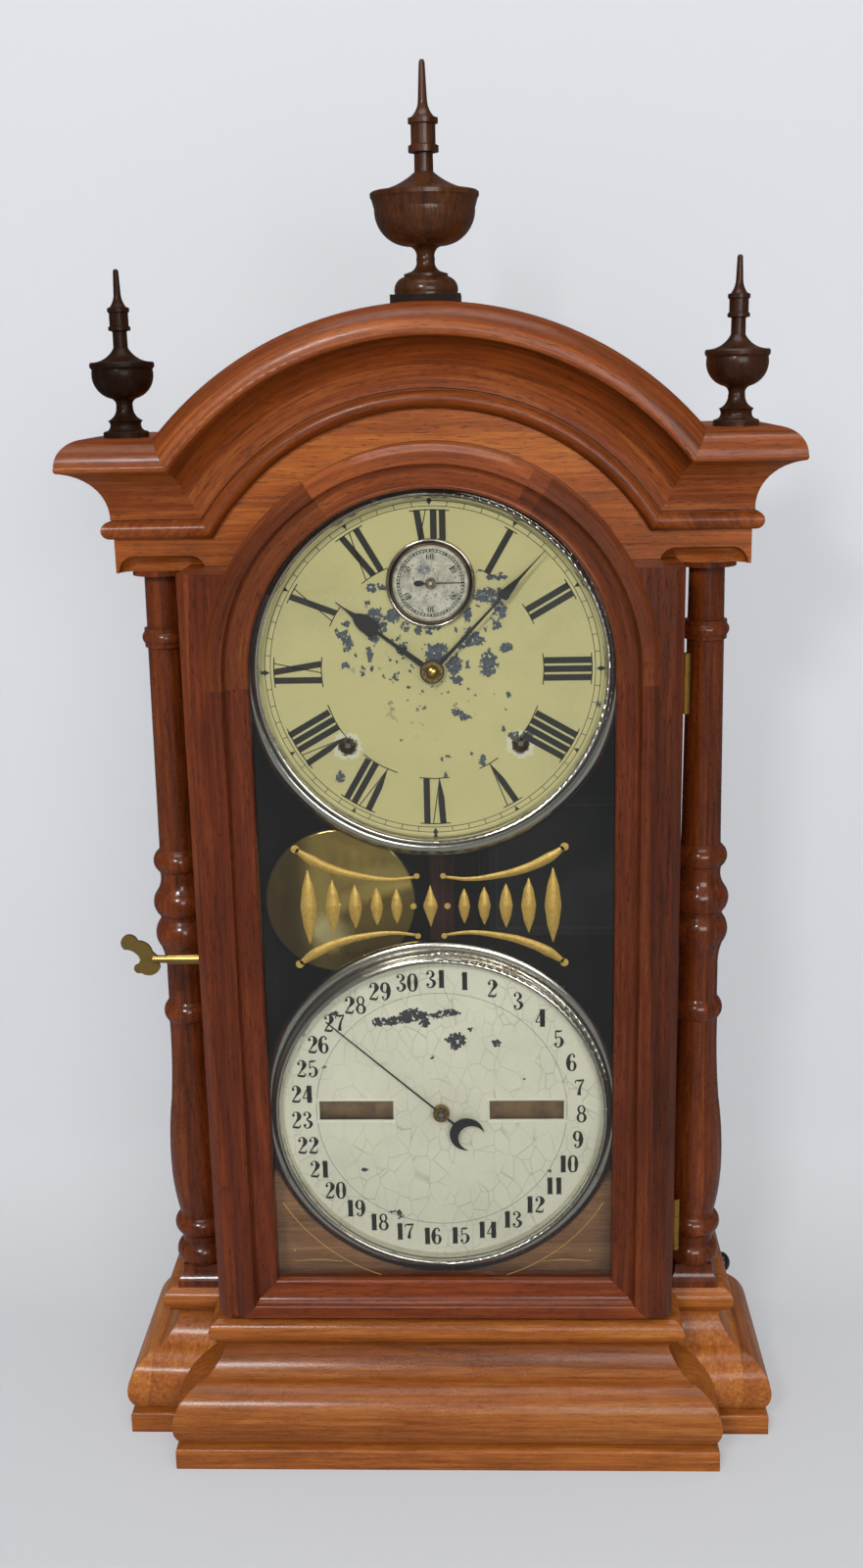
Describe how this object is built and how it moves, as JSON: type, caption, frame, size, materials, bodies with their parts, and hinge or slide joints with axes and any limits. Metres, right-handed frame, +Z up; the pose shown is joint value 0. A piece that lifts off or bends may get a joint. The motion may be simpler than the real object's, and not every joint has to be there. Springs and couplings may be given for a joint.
{
  "type": "double dial calendar shelf clock",
  "caption": "Walnut shelf clock with arched cornice, columns and finials, glazed arched door, time dial above and calendar dial below",
  "frame": {"origin": "centre of the bounding box at the standing surface, under the middle of the base", "axes": "+X to the right of someone facing the dials, where the door's hinges are; +Y to the back of the clock; +Z up"},
  "size_m": [0.4078, 0.1413, 0.813],
  "materials": {
    "base_wood": "golden brown walnut, old varnish with dents",
    "column_wood": "dark red-brown walnut, glossy old varnish",
    "case_wood": "brown walnut, satin varnish",
    "back_wood": "dark stained inside, plain wood behind",
    "hood_wood": "orange-brown walnut, glossy varnish",
    "dark_wood": "nearly black stained walnut, glossy",
    "door_wood": "red-brown walnut, glossy varnish",
    "clear_glass": "clear pane with thin gilt ornament",
    "brass": "polished, slightly aged brass",
    "dark_steel": "blued steel",
    "nickel": "polished nickel",
    "cream_paint": "cream painted sheet with grey-blue flaked patches",
    "white_paint": "off-white crackled paint",
    "black_hands": "satin black",
    "roller_paper": "browned varnished paper on the rollers",
    "old_card": "dark varnished card",
    "black_knob": "black japanned"
  },
  "bodies": {
    "case": {"base_slab": "base_wood", "base_moulding_front": "base_wood", "base_moulding_sides": "base_wood", "base_top_board": "base_wood", "column_pedestals": "column_wood", "column_left": "column_wood", "column_right": "column_wood", "case_side_left": "case_wood", "case_side_right": "case_wood", "case_arch": "case_wood", "case_floor": "case_wood", "back_board": "back_wood", "frieze_board": "hood_wood", "hood_boards": "hood_wood", "arch_moulding": "hood_wood", "ear_mouldings": "hood_wood", "bead_mouldings": "hood_wood", "roof_boards": "hood_wood", "centre_finial_block": "dark_wood", "centre_finial": "column_wood", "finial_left": "dark_wood", "finial_right": "dark_wood", "case_fittings": "brass", "time_dial": "cream_paint", "time_bezel": "nickel", "seconds_dial": "nickel", "calendar_dial": "white_paint", "calendar_bezel": "nickel", "movement_plates": "brass", "movement_pillars": "dark_steel", "suspension_cock": "brass", "strike_gong": "dark_steel", "calendar_board": "case_wood", "calendar_frame": "brass", "label_card": "old_card", "back_batten": "case_wood"},
    "door": {"door_stile_left": "door_wood", "door_stile_right": "door_wood", "door_rail": "door_wood", "door_arch": "door_wood", "door_glass": "clear_glass", "glass_stops": "door_wood", "door_hinge_leaves": "brass"},
    "latch": {"latch_finger": "dark_steel", "door_key": "brass"},
    "minute_train": {"centre_arbor": "brass", "minute_hand": "black_hands"},
    "hour_train": {"hour_hand": "black_hands"},
    "seconds_train": {"escape_wheel": "brass", "seconds_hand": "black_hands"},
    "left_winding": {"winding_arbor_left": "brass"},
    "right_winding": {"winding_arbor_right": "brass"},
    "pendulum": {"pendulum_rod": "dark_steel", "pendulum_bob": "brass"},
    "hammer": {"strike_hammer": "dark_steel"},
    "date_train": {"date_wheel": "brass", "date_hand": "black_hands"},
    "day_drum": {"day_roller": "roller_paper"},
    "month_drum": {"month_roller": "roller_paper"},
    "knob": {"side_knob": "black_knob"}
  },
  "joints": [
    {"name": "door_swing", "type": "hinge", "parent": "case", "child": "door", "pos_m": [0.1411, -0.0332, 0.3155], "axis": [0, 0, 1], "range_deg": [0, 110]},
    {"name": "latch_turn", "type": "hinge", "parent": "door", "child": "latch", "pos_m": [-0.1225, -0.04335, 0.3255], "axis": [1, 0, 0], "range_deg": [0, 90]},
    {"name": "minute_turn", "type": "hinge", "parent": "case", "child": "minute_train", "pos_m": [0, -0.01535, 0.4918], "axis": [0, 1, 0], "continuous": true},
    {"name": "hour_turn", "type": "hinge", "parent": "case", "child": "hour_train", "pos_m": [0, -0.02535, 0.4918], "axis": [0, 1, 0], "continuous": true},
    {"name": "seconds_turn", "type": "hinge", "parent": "case", "child": "seconds_train", "pos_m": [0, -0.01535, 0.541], "axis": [0, 1, 0], "continuous": true},
    {"name": "time_winding", "type": "hinge", "parent": "case", "child": "right_winding", "pos_m": [0.0492, -0.01535, 0.4488], "axis": [0, 1, 0], "continuous": true},
    {"name": "strike_winding", "type": "hinge", "parent": "case", "child": "left_winding", "pos_m": [-0.0492, -0.01535, 0.4488], "axis": [0, 1, 0], "continuous": true},
    {"name": "pendulum_swing", "type": "hinge", "parent": "case", "child": "pendulum", "pos_m": [-0.0624, 0.02865, 0.577], "axis": [0, 1, 0], "range_deg": [-3, 3]},
    {"name": "hammer_lift", "type": "hinge", "parent": "case", "child": "hammer", "pos_m": [0.024, 0.00465, 0.436], "axis": [0, 1, 0], "range_deg": [-8, 4]},
    {"name": "date_turn", "type": "hinge", "parent": "case", "child": "date_train", "pos_m": [0, -0.01535, 0.2226], "axis": [0, 1, 0], "continuous": true},
    {"name": "day_turn", "type": "hinge", "parent": "case", "child": "day_drum", "pos_m": [-0.0514, -0.01715, 0.2226], "axis": [1, 0, 0], "continuous": true},
    {"name": "month_turn", "type": "hinge", "parent": "case", "child": "month_drum", "pos_m": [0.0514, -0.00835, 0.2226], "axis": [1, 0, 0], "continuous": true},
    {"name": "knob_pull", "type": "slide", "parent": "case", "child": "knob", "axis": [1, 0, 0], "range_m": [0, 0.004]}
  ],
  "couplings": [
    {"joint": "hour_turn", "follows": "minute_turn", "ratio": 0.083333},
    {"joint": "seconds_turn", "follows": "minute_turn", "ratio": 60},
    {"joint": "day_turn", "follows": "date_turn", "ratio": 4.4286},
    {"joint": "month_turn", "follows": "date_turn", "ratio": 0.083333}
  ]
}
